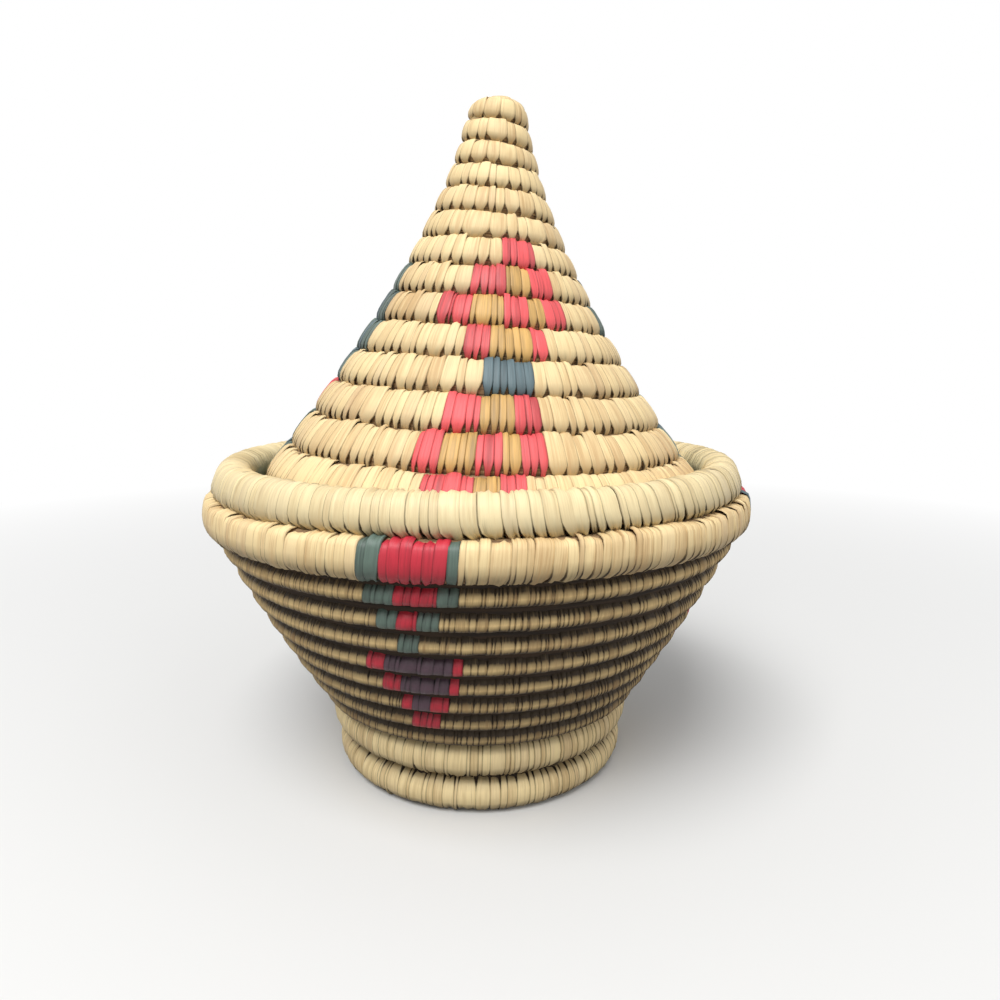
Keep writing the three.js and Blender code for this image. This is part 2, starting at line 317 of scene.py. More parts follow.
def bowl_rows():
    """Wall, shoulder and rim, one row on another, from the foot up."""
    upper = foot_rows()[1]
    reach = FOOT_UPPER_COIL * (1 + EIGHT_SIDES) + WALL_COIL * (1 + SIX_SIDES) + PIECE_GAP
    height = upper.height + math.sqrt(reach**2 - WALL_SET_OUT**2)
    rows = [Spot(upper.radius + WALL_SET_OUT, height, WALL_LEAN_LOW, WALL_COIL, WALL_COIL)]
    for i in range(1, WALL_ROUNDS):
        lean = blend(WALL_LEAN_LOW, WALL_LEAN_HIGH, i / (WALL_ROUNDS - 1))
        rows.append(rows[-1].carrying(lean, WALL_COIL))
    gap = SEWN_GAP + SHOULDER_COIL * TWELVE_SIDES
    shoulder = rows[-1].carrying(SHOULDER_LEAN, SHOULDER_COIL, gap)
    rim = shoulder.carrying(RIM_LEAN, RIM_COIL, gap + RIM_COIL * TWELVE_SIDES)
    shoulder.lean = (SHOULDER_LEAN + RIM_LEAN) / 2
    return rows + [shoulder, rim]


ROWS = bowl_rows()
WALL_END = WALL_ROUNDS - 0.25


def base_run():
    """A flat coil round a knot, sewn off to a round edge inside the wall."""
    upper = foot_rows()[1]
    height = upper.height + FOOT_UPPER_COIL + PIECE_GAP + WALL_COIL
    inner_edge = BASE_KNOT_RADIUS + PIECE_GAP
    outer_edge = ROWS[0].radius - WALL_COIL - PIECE_GAP
    run = []
    for turn in np.arange(-1, WALL_ROUNDS, 1 / STEPS):
        unwound = inner_edge + (2 * WALL_COIL + SEWN_GAP) * turn
        inner = max(unwound, inner_edge)
        outer = min(unwound + 2 * WALL_COIL, outer_edge)
        if outer - inner >= 2 * FINE_END:
            middle = (inner + outer) / 2
            spot = Spot(middle, height, math.pi / 2, (outer - inner) / 2, WALL_COIL)
            run.append((turn, spot))
    return run


def ledge_spot():
    """The coil inside the mouth that carries the lid."""
    climbing = ROWS[WALL_ROUNDS - 1].towards(ROWS[WALL_ROUNDS], 0.5)
    radius = climbing.radius - climbing.tall * (1 + EIGHT_SIDES) - PIECE_GAP - LEDGE_COIL
    return Spot(radius, climbing.height, 0, LEDGE_COIL, LEDGE_COIL)


def ledge_run():
    """One round, with its ends cut on a slant and lapped."""
    ledge = ledge_spot()
    run = []
    for turn in np.arange(-0.5, 1 + 0.5 / STEPS, 1 / STEPS):
        share = min(2 * turn + 1, 2 - 2 * turn, 1)
        tall = LEDGE_COIL * share - (END_GAP / 2 if share < 1 else 0)
        along = (-1 if turn < 0 else 1) * (LEDGE_COIL - tall)
        if tall >= FINE_END:
            run.append((turn, ledge.shifted(along, tall)))
    return run


LID_SEAT = ledge_spot().height + LEDGE_COIL + PIECE_GAP
LID_TOP = LID_SEAT + LID_HEIGHT
LID_EDGE = ROWS[-1].radius - RIM_COIL - LID_CLEARANCE


def part_linear(share, first):
    """A share that grows evenly in its first part, and faster and faster in the rest."""
    return first * share + (1 - first) * share * share


def lid_middle(turn):
    """How far out and how high the middle of the lid's coil runs."""
    share = turn / LID_ROUNDS
    gone = part_linear(share, LID_DROP) - part_linear(LID_START / LID_ROUNDS, LID_DROP)
    widest = LID_EDGE - LID_INSET * LID_EDGE_COIL
    radius = blend(LID_PEAK_RADIUS, widest, part_linear(share, LID_SPREAD))
    drop = LID_HEIGHT - LID_PEAK_COIL - LID_EDGE_HEIGHT
    return np.array([radius, LID_TOP - LID_PEAK_COIL - drop * gone])


def lid_full(turn):
    """A round in the open part of the lid."""
    radius, height = lid_middle(turn)
    pile = lid_middle(turn - 0.5) - lid_middle(turn + 0.5)
    thick = blend(LID_PEAK_COIL, LID_EDGE_COIL, min(turn / LID_ROUNDS, 1))
    lean = math.atan2(pile[0], pile[1])
    return Spot(radius, height, lean, (math.hypot(*pile) - SEWN_GAP) / 2, thick)


def lid_last(turn):
    """The last round keeps inside the rim, over the ledge."""
    full = lid_full(turn)
    before = lid_spot(turn - 1)
    spot = full
    for _ in range(LID_SETTLING):
        radius = min(full.radius, LID_EDGE - spot.reach(math.pi / 2))
        lean = math.atan2(before.radius - radius, before.height - full.height)
        above = before.reach(lean) + SEWN_GAP
        room = (before.height - LID_SEAT) / math.cos(lean) - above
        tall = min(full.tall, (room - full.thick / 2 * abs(math.tan(lean))) / 2)
        from_here = Spot(before.radius, before.height, lean, full.tall, full.thick)
        spot = from_here.shifted(-above - tall, tall)
    return spot


def lid_spot(turn):
    if turn >= LID_ROUNDS - 1:
        return lid_last(turn)
    full = lid_full(turn)
    if turn < LID_START + LID_START_TAPER:
        tall = blend(LEAST_END, full.tall, (turn - LID_START) / LID_START_TAPER)
        return full.shifted(tall - full.tall, tall)
    return full


def lid_run():
    run = []
    for turn in np.arange(LID_START - LID_POINT, LID_ROUNDS + 2, 1 / STEPS):
        spot = lid_spot(turn)
        if spot.tall < FINE_END:
            break
        run.append((turn, spot))
    return run


LID_SIDE = np.array([math.cos(LID_LEAN_TOWARDS), math.sin(LID_LEAN_TOWARDS), 0])


def leaning(points):
    """The lid's peak has gone over to one side, and the rounds dip towards it."""
    share = np.maximum(points[..., 2] - LID_SEAT, 0) / LID_HEIGHT
    dip = LID_DIP * share * (2 - share) * (points @ LID_SIDE)
    moved = points + (LID_LEAN * share)[..., None] * LID_SIDE
    moved[..., 2] -= dip
    return moved


# Leaf strips

MM = 1000  # millimetres in a metre
STRIP_HALF = 0.53  # half a strip's width as a share of its room, so that strips overlap
EDGE_FROM = 0.96  # place across a strip, of 1, from which its edge turns down
EDGE_TUCK = 2.8  # how far its very edge turns down, in crowns
EDGE_BEND = 0.5  # how far the rest bends down towards it, in crowns
TOP_SPREAD = 0.6  # angle over which a strip's top goes back to its usual width
BROW = 0.65, 0.35  # angle of the bulge into the joint above, and its spread
HEEL = 2.45, 0.4  # the same for the joint below
FOOT_SINK = 0.00012  # how much lower a strip lies at its foot
FOOT_OVERLAP = 0.4  # share of the overlap that is left at its foot
FLAT_PLEATS = 0.3  # share of the pleats where a strip lies flat
LEAN_BACK = 0.3  # share of its lean by which a strip's top goes the other way
STRAIGHT_END = 3  # widths from a coil's end over which strips come to stand straight
MARK = 0.0005  # steps in which a coil is searched for its figures

TONE_RUN = 9  # strips over which tones drift
TONE_DRIFT = 0.13
TONE_SPREAD = 0.17
TOP_SHADE_ANGLES = 1.1, 0.5  # angles between which a strip gets painted shade towards its top, where the round above shades it
LOW_SHADE_FADE = 1.5  # how fast the painted shade on the lowest rounds thins out from the first round on, as a power

GRASS_STEMS = 14  # stems round the outside of a coil's bundle
GRASS_SINK = 0.0009  # how deep the bundle lies under the coil's surface
STEM_RIDGE = 0.0003  # how far each stem stands out
JOINT_FILL = 24  # how closely stems keep to a joint that they fill, as a power


class Wrap:
    """How leaf strips lie on one coil, in metres and shares of a strip's width.
    Angles round the section start at its top."""

    def __init__(self, **changes):
        self.width = 0.0038  # of a middling strip
        self.dyed = 0.003  # of a middling strip in a figure
        self.spread = 0.25  # how far widths differ
        self.lift = 0.0001  # of a strip's middle off the coil's section
        self.crown = 0.0002  # how much lower its edges lie
        self.overlap = 0.00025  # how far one edge rides up on the next strip
        self.pinch = 0.45  # share of its width that is left at its foot
        self.pinch_from = 1.5  # angle where it begins to narrow
        self.pinch_to = 2.5  # angle where it has narrowed
        self.top = 0.8  # share of its width at the top
        self.top_at = 0.0  # angle of the joint above
        self.tip = 0.0003  # how far it stands up at the top
        self.pleats = 3  # lengthwise faces between its edges
        self.pleat = 0.00012  # how deep its pleats are where it is drawn in
        self.slant = 0.2  # how far its foot wanders along the coil
        self.slope = 0.0  # how far all feet lean along the coil
        self.bend = 1.5  # 1 for a straight slant, and more if only the foot goes aside
        self.squeeze = 0.0  # how much flatter the round is than the plain coil
        self.leg = 0.0005  # how far its foot reaches into the next round
        self.brow = 0.0  # how far it bulges into the joint above
        self.heel = 0.0  # how far it bulges into the joint below
        self.tone = 0.72  # from dark to light
        self.vary = 1.0  # how far tones differ
        self.shade = 1.2, 2.2  # angles from which and to which its foot gets painted shade
        self.top_shade = 0.0  # how much painted shade its top gets, against its foot
        self.dust = 0.0  # how much painted shade the first round gets, against its foot
        self.fill = 0.0013  # how far the grass inside stands out into the joint above
        self.fill_from = -1  # turn from which it does
        self.__dict__.update(changes)


LEG_FROM = 2.45  # angle where a strip leaves its own round for the one below
# From the foot of the section up the outer side, over the top and down the inside
AROUND = np.radians([180, 158, 140, 122, 104, 86, 68, 50, 34, 18, 2, -20, -60, -110, -180])


def stitches(coil, wrap, letter_at, chance):
    """Where each strip's middle lies along the coil, its width and its letter. A
    figure begins and ends between two strips."""
    marks = np.arange(0, coil.length[-1], MARK)
    letters = [letter_at(turn) for turn in coil.turn_at(marks)]
    changes = [i for i in range(1, len(marks)) if letters[i] != letters[i - 1]]
    widths, kinds = [], []
    for begin, end in zip([0] + changes, changes + [len(marks) - 1]):
        length = marks[end] - marks[begin]
        middling = wrap.width if letters[begin] == " " else wrap.dyed
        count = max(1, round(length / middling))
        share = np.exp(wrap.spread * chance.standard_normal(count))
        widths.extend(share * length / share.sum())
        kinds.extend(letters[begin] * count)
    widths = np.array(widths)
    return np.cumsum(widths) - widths / 2, widths, kinds


def across_strip(pleats):
    """Places across a strip from edge to edge. The outermost turn its edges down."""
    inner = EDGE_FROM * np.sin(np.linspace(-1, 1, pleats + 1) * math.pi / 2)
    return np.concatenate([[-1], inner, [1]])


def edge_drop(across):
    """Share of the crown by which a strip is lower at places across it. Its edges
    tuck in under the strips beside it."""
    return np.where(np.abs(across) > EDGE_FROM, EDGE_TUCK, EDGE_BEND * np.abs(across) ** 3)


def strips(coil, wrap, places, widths, chance):
    """The points of every strip, in rows across it."""
    count = len(places)
    across = across_strip(wrap.pleats)

    def each(middle, spread, low=-math.inf, high=math.inf):
        """A number for each strip, with what is usual, how far it differs, the least
        and the most."""
        return np.clip(middle + spread * chance.standard_normal(count), low, high)[:, None]

    low = np.abs(AROUND)[None, :]
    begin = each(wrap.pinch_from, 0.18, 0.9, wrap.pinch_to - 0.3)
    foot = eased(between(low, begin, wrap.pinch_to))
    top = swell(AROUND[None, :], wrap.top_at, TOP_SPREAD)
    narrow = blend(1, each(wrap.pinch, 0.08, 0.15, 1), foot) * blend(1, wrap.top, top)
    half = widths[:, None] * STRIP_HALF * narrow

    lean = wrap.slope * wrap.width + each(0, wrap.slant) * widths[:, None]
    # Strips stand straight at the coil's two ends, and lean less where it is thin.
    room = np.minimum(places, coil.length[-1] - places) / (STRAIGHT_END * wrap.width)
    free = np.clip(room, 0, 1) * coil.share(coil.turn_at(places))
    lean = lean * free[:, None] * ((low / math.pi) ** wrap.bend - LEAN_BACK)
    place = (places[:, None] + lean)[..., None] + half[..., None] * across

    side = edge_drop(across)
    lift = wrap.lift + each(0, 0.00004, -0.0001, 0.0001) + wrap.tip * each(0.7, 0.5, 0, 2) * top
    lift = (lift - FOOT_SINK * foot)[..., None] - wrap.crown * side
    overlap = wrap.overlap * each(1, 0.4, 0.2, 2) * blend(1, FOOT_OVERLAP, foot)
    lift = lift + overlap[..., None] * across
    folds = chance.standard_normal((count, 1, len(across))) * np.maximum(1 - side, 0)
    lift = lift + wrap.pleat * folds * (FLAT_PLEATS + foot + top)[..., None]
    around = np.broadcast_to(AROUND[None, :, None], place.shape)
    leg = between(np.abs(around), LEG_FROM, math.pi)
    bulge = wrap.brow * swell(around, *BROW) + wrap.heel * swell(around, *HEEL)
    turn = coil.turn_at(place)
    lift = (lift + wrap.leg * leg + bulge) * coil.share(turn)
    return coil.surface(turn, around, lift, wrap.squeeze * (1 - leg))


def pieces_of(grid, facing):
    """The faces of a grid of points, wound so that they face out."""
    count, rows, columns = grid
    index = np.arange(count * rows * columns).reshape(grid)
    corners = [index[:, :-1, :-1], index[:, :-1, 1:], index[:, 1:, 1:], index[:, 1:, :-1]]
    faces = np.stack(corners[::facing], -1)
    return faces.reshape(-1, 4)


def mesh_object(name, points, faces, slots, materials, values):
    """A smooth mesh. values are what the finishes read at each point."""
    mesh = bpy.data.meshes.new(name)
    mesh.vertices.add(points.size // 3)
    mesh.vertices.foreach_set("co", points.ravel())
    mesh.loops.add(faces.size)
    mesh.loops.foreach_set("vertex_index", faces.ravel())
    mesh.polygons.add(len(faces))
    mesh.polygons.foreach_set("loop_start", np.arange(0, faces.size, 4))
    for material in materials:
        mesh.materials.append(material)
    mesh.polygons.foreach_set("material_index", slots)
    mesh.polygons.foreach_set("use_smooth", np.ones(len(faces), bool))
    mesh.update(calc_edges=True)
    for key, value in values.items():
        flat = value.size < points.size
        layer = mesh.attributes.new(key, "FLOAT" if flat else "FLOAT_VECTOR", "POINT")
        layer.data.foreach_set("value" if flat else "vector", value.ravel())
    piece = bpy.data.objects.new(name, mesh)
    bpy.context.collection.objects.link(piece)
    return piece


def leaf_piece(name, coil, wrap, finishes, letter_at, seed):
    """Every strip that is wrapped round one coil, as one piece."""
    chance = np.random.default_rng(seed)
    places, widths, kinds = stitches(coil, wrap, letter_at, chance)
    points = strips(coil, wrap, places, widths, chance)
    count, rows, columns = points.shape[:3]
    sides = across_strip(wrap.pleats)
    dyes = sorted(set(kinds))
    slots = np.repeat([dyes.index(kind) for kind in kinds], (rows - 1) * (columns - 1))

    ones = np.ones((count, rows, columns))
    mean = coil.table[:, 3].mean()
    across = ones * widths[:, None, None] / 2 * sides
    along = ones * AROUND[None, :, None] * mean
    fibre = np.stack([across, along, ones * chance.random(count)[:, None, None]], -1)
    # Neighbours are often split from one leaf, so tones drift along the coil.
    window = np.ones(TONE_RUN) / math.sqrt(TONE_RUN)
    drift = np.convolve(chance.standard_normal(count + TONE_RUN - 1), window, "valid")
    differ = TONE_DRIFT * drift + TONE_SPREAD * chance.standard_normal(count)
    tone = np.clip(wrap.tone + wrap.vary * differ, 0, 1)
    low = np.abs(AROUND)
    # Painted shade, which the finishes read as foot: strips get darker towards their foot and
    # their top, where the rounds beside them shade them, and over the lowest rounds, which lie in
    # the overhang's shadow.
    section_shade = eased(between(low, *wrap.shade)) + wrap.top_shade * eased(between(low, *TOP_SHADE_ANGLES))
    dusty = wrap.dust * (1 - places / places[-1]) ** LOW_SHADE_FADE
    foot = section_shade[None, :, None] + dusty[:, None, None]
    values = {
        "fibre": fibre,
        "tone": ones * tone[:, None, None],
        "edge": ones * widths[:, None, None] / 2 * MM * (1 - np.abs(sides)),
        "foot": ones * foot,
    }
    faces = pieces_of((count, rows, columns), coil.way)
    materials = [finishes[kind] for kind in dyes]
    return mesh_object(name, points, faces, slots, materials, values)


def grass_piece(name, coil, wrap, material):
    """The bundle of grass inside a coil, which shows between the strips. A few stems
    at its top and its bottom fill the joints to the rounds beside it."""
    stems = GRASS_STEMS
    turns = np.arange(coil.turns[0], coil.turns[-1] + 0.5 / STEPS, 1 / STEPS)
    around = TURN * np.arange(2 * stems) / (2 * stems)
    ridges = np.where(np.arange(2 * stems) % 2, 0.0, STEM_RIDGE) - GRASS_SINK
    turn, angle = np.meshgrid(turns, around, indexing="ij")
    share = coil.share(turn)
    lift = ridges * share
    if wrap.fill:
        above = np.maximum(np.cos(angle - wrap.top_at), 0) ** JOINT_FILL
        above = above * (turn > wrap.fill_from)
        below = np.maximum(-np.cos(angle), 0) ** JOINT_FILL
        lift = lift + (GRASS_SINK + wrap.squeeze) * share * (above + below)
        # The joint is wider where the coil is thin.
        lift = lift + wrap.fill * (2 - share) * above
    points = coil.surface(turn, angle, lift, wrap.squeeze)
    rows, columns = turn.shape
    index = np.arange(rows * columns).reshape(rows, columns)
    beside = np.roll(index, -1, 1)
    corners = [index[:-1], beside[:-1], beside[1:], index[1:]]
    faces = np.stack(corners[:: -coil.way], -1).reshape(-1, 4)
    k = np.arange(stems - 1)
    first_end = np.stack([k, k + 1, columns - 2 - k, columns - 1 - k][:: coil.way], -1)
    last_end = index[-1, 0] + first_end[:, ::-1]
    faces = np.concatenate([faces, first_end, last_end])
    length = np.interp(turn, coil.turns, coil.length)
    fibre = np.stack([angle * coil.table[:, 3].mean(), length, 0 * angle], -1)
    slots = np.zeros(len(faces), int)
    return mesh_object(name, points, faces, slots, [material], {"fibre": fibre})


EYE_STRIPS = 5  # strips that cross over the eye of a coil
EYE_SWEEP = 118  # degrees from the middle to where they end under the first round
EYE_STEPS = 33  # places along each of them
EYE_STRAY = 0.16  # how far they are turned off an even star, in its steps
EYE_VARY = 0.1  # how far their widths and tones differ
EYE_TONE = 0.7  # from dark to light
EYE_END_SHADE = 0.6  # how dark the painted shade at their ends is, where they go under the first round
EYE_PLEATS = 4  # lengthwise faces between their edges
EYE_FOOT = 1.05, 1.85  # angles between which they narrow
EYE_PINCH = 0.72  # share of their width that is left at their ends
EYE_WIDTH = 1.12  # their width as a share of their room, so that they overlap
EYE_PILE = 0.00016  # how much higher each lies than the one before it
EYE_PLEAT = 0.0001  # how deep their pleats are
EYE_CROWN = 0.0002  # how much lower their edges lie
EYE_SINK = 0.0004  # how much lower their ends and their tops lie
DOME_FLATNESS = 0.85  # 1 is round, and less is flatter on top
PEAK_REACH = 0.7  # how far they reach out over the lid's first round, in its thickness


def eye_piece(name, centre, reach, rise, finish, seed, shape=None):
    """Strips that cross over the eye of a coil and cover it with petals, as a dome
    with a flat top."""
    chance = np.random.default_rng(seed)
    count = EYE_STRIPS
    across = across_strip(EYE_PLEATS)
    turned = math.pi * (np.arange(count) + EYE_STRAY * chance.random(count)) / count
    turned = turned[:, None, None]
    path = np.radians(np.linspace(-EYE_SWEEP, EYE_SWEEP, EYE_STEPS))[:, None]
    foot = eased(between(np.abs(path), *EYE_FOOT))
    half = math.pi * reach / (2 * count) * EYE_WIDTH
    half = half * (1 + EYE_VARY * chance.standard_normal(count))[:, None, None]
    step = half * blend(1, EYE_PINCH, foot) * across
    pile = EYE_PILE * np.arange(count)[:, None, None]
    folds = EYE_PLEAT * chance.standard_normal((count, 1, len(across)))
    lift = pile + folds - EYE_CROWN * edge_drop(across) - EYE_SINK * foot
    shallow = pressed(np.sin(path), DOME_FLATNESS)
    upright = pressed(np.cos(path), DOME_FLATNESS)
    far = (reach + lift) * shallow
    bend = np.abs(shallow) * step / reach
    out = far * np.cos(bend)
    aside = step * (1 - np.abs(shallow)) + np.abs(far) * np.sin(bend)
    high = (rise + lift - EYE_SINK) * upright
    east = out * np.cos(turned) - aside * np.sin(turned)
    north = out * np.sin(turned) + aside * np.cos(turned)
    points = np.stack([east, north, high], -1) + np.array(centre)
    if shape:
        points = shape(points)
    ones = np.ones(out.shape)
    own = chance.random(count)[:, None, None]
    tone = EYE_TONE + EYE_VARY * chance.standard_normal(count)
    values = {
        "fibre": np.stack([ones * half * across, ones * path * reach, ones * own], -1),
        "tone": ones * tone[:, None, None],
        "edge": ones * half * MM * (1 - np.abs(across)),
        "foot": ones * EYE_END_SHADE * foot,
    }
    faces = pieces_of(out.shape, 1)
    slots = np.zeros(len(faces), int)
    return mesh_object(name, points, faces, slots, [finish], values)


# Figures


def stitched(figure, stitch, row, angle, radius):
    """The letter of the stitch at an angle in one round of a figure. The angle
    counts in degrees from +X, and grows the way that the figure is read."""
    if row not in figure:
        return " "
    begin, letters = figure[row]
    past = (angle - begin) % 360
    index = int(math.radians(past % 90) * radius / stitch)
    if index >= len(letters):
        return " "
    dye = letters[index]
    return SECOND_DYES[dye] if int(past // 90) % 2 else dye


def bowl_letter(turn):
    if turn <= 0:
        return " "
    radius = on_round(ROWS, turn).radius
    return stitched(BOWL_FIGURE, BOWL_STITCH, math.floor(turn), -360 * turn, radius)


def lid_letter(turn):
    row = math.floor(turn + LID_COUNTED)
    return stitched(LID_FIGURE, LID_STITCH, row, 360 * turn, lid_spot(turn).radius)


def plain_letter(turn):
    return " "


# Finishes

# Waves of a noise in a metre across a strip and along it, and between strips
VEINS = 2400, 40, 37
BLOTCHES = 600, 90, 91
CAST = 0, 25, 173
STEMS = 1500, 45, 1
VEIN_TONE = 1.8  # how far the veins change a strip's tone
BLOTCH_TONE = 1.6  # how far its blotches do
GREYED_FROM = (0.5, 0), (0.8, 0.4)  # shares of greyed leaf at two values of its noise
GREYED = 0.3  # how far its colour has gone to grey
GREYED_LIGHT = 1.3  # how light it is against the dark leaf
SEAM_FROM = (0.12, 1), (0.36, 0)  # shares of an edge's line, millimetres from the edge
SEAM_WANDER = 0.15  # how far the line wanders, in millimetres
SEAM_FOOT = 0.62  # how dark the line is at the foot
FOOT_STREAKS = 0.8  # how streaky the painted shade is
SHADE_AND_DIRT_BROWN = 0.1  # how light the brown of painted shade and dirt is against the dark leaf
STEMS_FROM = (0.35, 0), (0.65, 1)  # shares of light grass at two values of its noise
DYE_DARK = 0.45  # how light a dyed leaf is where darkest, against where lightest
WHITE = 1, 1, 1, 1


class Number:
    """A socket with a number, which can be used in a Python expression."""

    def __init__(self, finish, socket):
        self.finish = finish
        self.socket = socket

    def maths(self, operation, first, second):
        return self.finish.node("ShaderNodeMath", {"operation": operation}, {0: first, 1: second})

    def __add__(self, other):
        return self.maths("ADD", self, other)

    def __sub__(self, other):
        return self.maths("SUBTRACT", self, other)

    def __rsub__(self, other):
        return self.maths("SUBTRACT", other, self)

    def __mul__(self, other):
        return self.maths("MULTIPLY", self, other)

    __radd__ = __add__
    __rmul__ = __mul__


class Finish:
    """One material, or the sky, and the nodes that make it up."""

    def __init__(self, owner):
        self.owner = owner
        owner.use_nodes = True
        self.nodes = owner.node_tree.nodes
        self.links = owner.node_tree.links
        self.nodes.clear()

    def node(self, kind, settings=None, inputs=None, output=0):
        made = self.nodes.new(kind)
        for key, value in (settings or {}).items():
            if key == "stops":
                self.set_stops(made.color_ramp, value)
            else:
                setattr(made, key, value)
        for key, value in (inputs or {}).items():
            if isinstance(value, Number):
                self.links.new(value.socket, made.inputs[key])
            else:
                made.inputs[key].default_value = value
        return Number(self, made.outputs[output]) if len(made.outputs) else None

    def set_stops(self, ramp, stops):
        for element, (position, grey) in zip(ramp.elements, stops):
            element.position = position
            element.color = (grey, grey, grey, 1)

    def ramp(self, value, *stops):
        """A number as a share that rises or falls between two stops, or that stays
        as it is from 0 to 1."""
        return self.node("ShaderNodeValToRGB", {"stops": stops}, {"Fac": value})

    def attribute(self, name, output="Fac"):
        return self.node("ShaderNodeAttribute", {"attribute_name": name}, output=output)

    def mixed(self, share, first, second):
        inputs = {0: share, 6: first, 7: second}
        return self.node("ShaderNodeMix", {"data_type": "RGBA"}, inputs, output=2)

    def scaled(self, vector, scale):
        return self.node("ShaderNodeVectorMath", {"operation": "MULTIPLY"}, {0: vector, 1: scale})

    def noise(self, vector, detail):
        inputs = {"Vector": vector, "Scale": 1.0, "Detail": detail}
        return self.node("ShaderNodeTexNoise", None, inputs)

    def bump(self, height, strength, distance):
        inputs = {"Strength": strength, "Distance": distance, "Height": height}
        return self.node("ShaderNodeBump", None, inputs)

    def surface(self, inputs):
        shader = self.node("ShaderNodeBsdfPrincipled", None, inputs)
        self.node("ShaderNodeOutputMaterial", None, {"Surface": shader})
        return self.owner

    def seen(self):
        """1 where the camera, a reflection or clear material looks at it."""
        kinds = ("Camera", "Glossy", "Transmission")
        return sum(self.node("ShaderNodeLightPath", output=f"Is {kind} Ray") for kind in kinds)


def rgba(colour):
    return (*colour, 1.0)


def leaf_finish(name, light, dark, roughness, stain=0.35, seam=0.3):
    """Split palm leaf: fine veins along the strip, tones that differ from strip to
    strip, and painted shade at its feet and tops, where the rounds beside it shade it.
    The line at its edges is partly dirt in the gap and partly painted shade between
    strips. The number after the roughness is how dark the painted shade at its foot
    is, and seam how dark the line at its edge."""
    finish = Finish(bpy.data.materials.new(name))
    fibre = finish.attribute("fibre", "Vector")
    tone = finish.attribute("tone")
    edge = finish.attribute("edge")
    foot = finish.attribute("foot")
    veins = finish.noise(finish.scaled(fibre, VEINS), 3) - 0.5
    broad = finish.noise(finish.scaled(fibre, BLOTCHES), 2) - 0.5
    cast = finish.noise(finish.scaled(fibre, CAST), 1)
    share = finish.ramp(tone + veins * VEIN_TONE + broad * BLOTCH_TONE)
    colour = finish.mixed(share, rgba(dark), rgba(light))
    grey = sum(dark) / 3
    greyed = rgba([blend(c, grey, GREYED) * GREYED_LIGHT for c in dark])
    colour = finish.mixed(finish.ramp(cast, *GREYED_FROM), colour, greyed)
    # A dark line along each strip's edge: partly dirt in the gap and partly painted shade between
    # strips, darker where the strip is painted shaded.
    line = finish.ramp(edge + broad * SEAM_WANDER, *SEAM_FROM) * (foot * (SEAM_FOOT - seam) + seam)
    # Painted shade at the foot and top, streaked, and the edge line mix the leaf towards brown.
    shade_and_dirt = line + foot * stain + (broad + veins) * foot * FOOT_STREAKS
    brown = rgba([c * SHADE_AND_DIRT_BROWN for c in dark])
    colour = finish.mixed(finish.ramp(shade_and_dirt), colour, brown)
    bump = finish.bump(veins + broad * 0.6, strength=0.5, distance=0.0003)
    rough = roughness + veins * 0.3
    return finish.surface({"Base Color": colour, "Roughness": rough, "Normal": bump})


def grass_finish(name, light, dark):
    """A bundle of dry stems, which run along the coil."""
    finish = Finish(bpy.data.materials.new(name))
    fibre = finish.attribute("fibre", "Vector")
    stems = finish.noise(finish.scaled(fibre, STEMS), 2)
    share = finish.ramp(stems, *STEMS_FROM)
    colour = finish.mixed(share, rgba(dark), rgba(light))
    bump = finish.bump(stems, strength=0.6, distance=0.0004)
    return finish.surface({"Base Color": colour, "Roughness": 0.85, "Normal": bump})


def made_once(name, make, light, dark, **details):
    return bpy.data.materials.get(name) or make(name, light, dark, **details)


def natural_leaf(part, **details):
    """Undyed leaf, in the two colours of one part of the basket."""
    leaf = bpy.context.scene.basket_leaf
    light, dark = getattr(leaf, part), getattr(leaf, part + "_dark")
    return made_once(part + "_palm", leaf_finish, light, dark, **details)


def dye_finishes(leaf, natural):
    """The finish for each letter. A blank is natural leaf."""
    finishes = {" ": natural}
    for letter, name in DYES.items():
        light = getattr(leaf, name)
        dark = [c * DYE_DARK for c in light]
        # Dyed leaf gets a little painted shade at its foot.
        details = {"roughness": 0.5, "stain": 0.2}
        finishes[letter] = made_once("dyed_" + name, leaf_finish, light, dark, **details)
    return finishes


# Stage


def floor_finish(near, bounce):
    """A pale floor that keeps the basket's shadow, and fades to white further off."""
    finish = Finish(bpy.data.materials.new("stage"))
    seen = finish.seen()
    place = finish.node("ShaderNodeNewGeometry", output="Position")
    far = finish.node("ShaderNodeVectorMath", {"operation": "LENGTH"}, {0: place}, output="Value")
    colour = finish.mixed(seen, rgba(bounce), rgba(near))
    floor = finish.node("ShaderNodeBsdfDiffuse", None, {"Color": colour})
    white = finish.node("ShaderNodeEmission", None, {"Color": WHITE, "Strength": 1.0})
    share = finish.ramp(far, *FLOOR_FADE) * seen
    mixed = finish.node("ShaderNodeMixShader", None, {0: share, 1: floor, 2: white})
    finish.node("ShaderNodeOutputMaterial", None, {"Surface": mixed})
    return finish.owner


def lay_floor(near, bounce):
    """A pale floor all round the basket."""
    sides = -FLOOR_REACH, FLOOR_REACH
    points = np.array([(x, y, 0) for y in sides for x in sides])
    faces = np.array([(0, 1, 3, 2)])
    finish = floor_finish(near, bounce)
    floor = mesh_object("floor", points, faces, np.zeros(1, int), [finish], {})


def soft_light(name, place, size, power):
    light = bpy.data.lights.new(name, "AREA")
    light.size = size
    light.energy = power
    lamp = bpy.data.objects.new(name, light)
    lamp.location = place
    aim = LIGHT_AIM - Vector(place)
    lamp.rotation_euler = aim.to_track_quat("-Z", "Y").to_euler()
    bpy.context.collection.objects.link(lamp)


def sky(scene, strength):
    """Light from all round, and a white background."""
    finish = Finish(bpy.data.worlds.new("sky"))
    shown = finish.seen() * (1 - strength) + strength
    background = finish.node("ShaderNodeBackground", None, {"Color": WHITE, "Strength": shown})
    finish.node("ShaderNodeOutputWorld", None, {"Surface": background})
    scene.world = finish.owner


